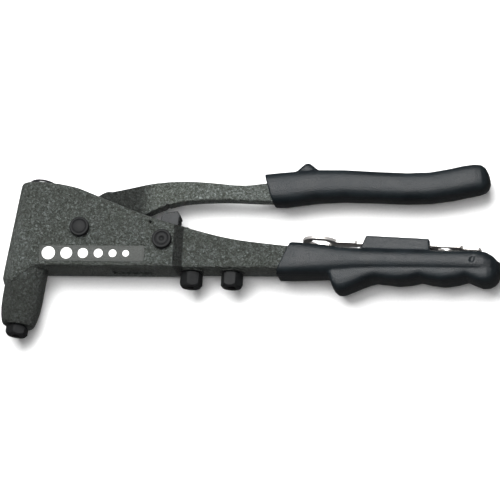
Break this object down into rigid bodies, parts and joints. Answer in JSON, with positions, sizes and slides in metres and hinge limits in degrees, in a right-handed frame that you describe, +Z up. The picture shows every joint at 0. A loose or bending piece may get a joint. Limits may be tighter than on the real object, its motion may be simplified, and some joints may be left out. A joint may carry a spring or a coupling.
{
  "type": "hand riveter",
  "caption": "Plier-shaped hand riveter: cast body with a downward nose, pivoted lever, moulded grips, spare nosepieces in the body and a spanner clipped to the lower grip.",
  "frame": {"origin": "the middle of the underside of the tool's box, the tool lying flat on its back face", "axes": "+X from the nose to the handles' ends, +Y from the fixed handle to the lever, +Z up out of the table"},
  "size_m": [0.257, 0.0922, 0.0277],
  "materials": {
    "cast_paint": "dark grey speckled stoved paint on a casting",
    "grip": "matte black fine-grained moulding",
    "black_steel": "black oxide, satin",
    "zinc": "bright zinc plate on pressed steel strip",
    "gloss_cap": "gloss black",
    "bright_steel": "turned bright steel"
  },
  "bodies": {
    "body": {"body_casting": "cast_paint", "lower_grip": "grip", "rear_cap": "gloss_cap", "stop_block": "black_steel", "lever_pivot_pin": "black_steel", "pivot_retaining_ring": "black_steel", "stop_pin": "black_steel", "stop_retaining_ring": "black_steel", "fitted_nosepiece": "black_steel", "spare_nosepiece_1": "black_steel", "spare_nosepiece_2": "black_steel"},
    "lever": {"lever_arm": "cast_paint", "upper_grip": "grip"},
    "drawing_gear": {"draw_rod": "bright_steel", "jaw_case": "bright_steel", "pusher_spring": "bright_steel"},
    "pusher": {"jaw_pusher": "bright_steel"},
    "jaw_one": {"jaw_1": "bright_steel"},
    "jaw_two": {"jaw_2": "bright_steel"},
    "jaw_three": {"jaw_3": "bright_steel"},
    "clipped_spanner": {"spanner": "zinc"}
  },
  "joints": [
    {"name": "lever_hinge", "type": "hinge", "parent": "body", "child": "lever", "pos_m": [-0.08812, 0.009, 0.0137], "axis": [0, 0, 1], "range_deg": [-3.4, 21.5]},
    {"name": "draw_slide", "type": "slide", "parent": "body", "child": "drawing_gear", "axis": [-0.1167, -0.9932, 0], "range_m": [-0.0016, 0.0096]},
    {"name": "pusher_slide", "type": "slide", "parent": "drawing_gear", "child": "pusher", "axis": [0.1167, 0.9932, 0], "range_m": [0, 0.0015], "stiffness_N_per_m": 1500, "springref_m": -0.004},
    {"name": "jaw_one_slide", "type": "slide", "parent": "drawing_gear", "child": "jaw_one", "axis": [-0.0577, 0.9983, 0], "range_m": [0, 0.0016]},
    {"name": "jaw_two_slide", "type": "slide", "parent": "drawing_gear", "child": "jaw_two", "axis": [0.2012, 0.9679, -0.1505], "range_m": [0, 0.0016]},
    {"name": "jaw_three_slide", "type": "slide", "parent": "drawing_gear", "child": "jaw_three", "axis": [0.2012, 0.9679, 0.1505], "range_m": [0, 0.0016]},
    {"name": "spanner_lift", "type": "slide", "parent": "body", "child": "clipped_spanner", "axis": [0.0454, 0.999, 0], "range_m": [0, 0.008]}
  ],
  "couplings": [
    {"joint": "draw_slide", "follows": "lever_hinge", "m_per_rad": 0.0253},
    {"joint": "jaw_one_slide", "follows": "pusher_slide", "ratio": 1.0155},
    {"joint": "jaw_two_slide", "follows": "pusher_slide", "ratio": 1.0155},
    {"joint": "jaw_three_slide", "follows": "pusher_slide", "ratio": 1.0155}
  ]
}
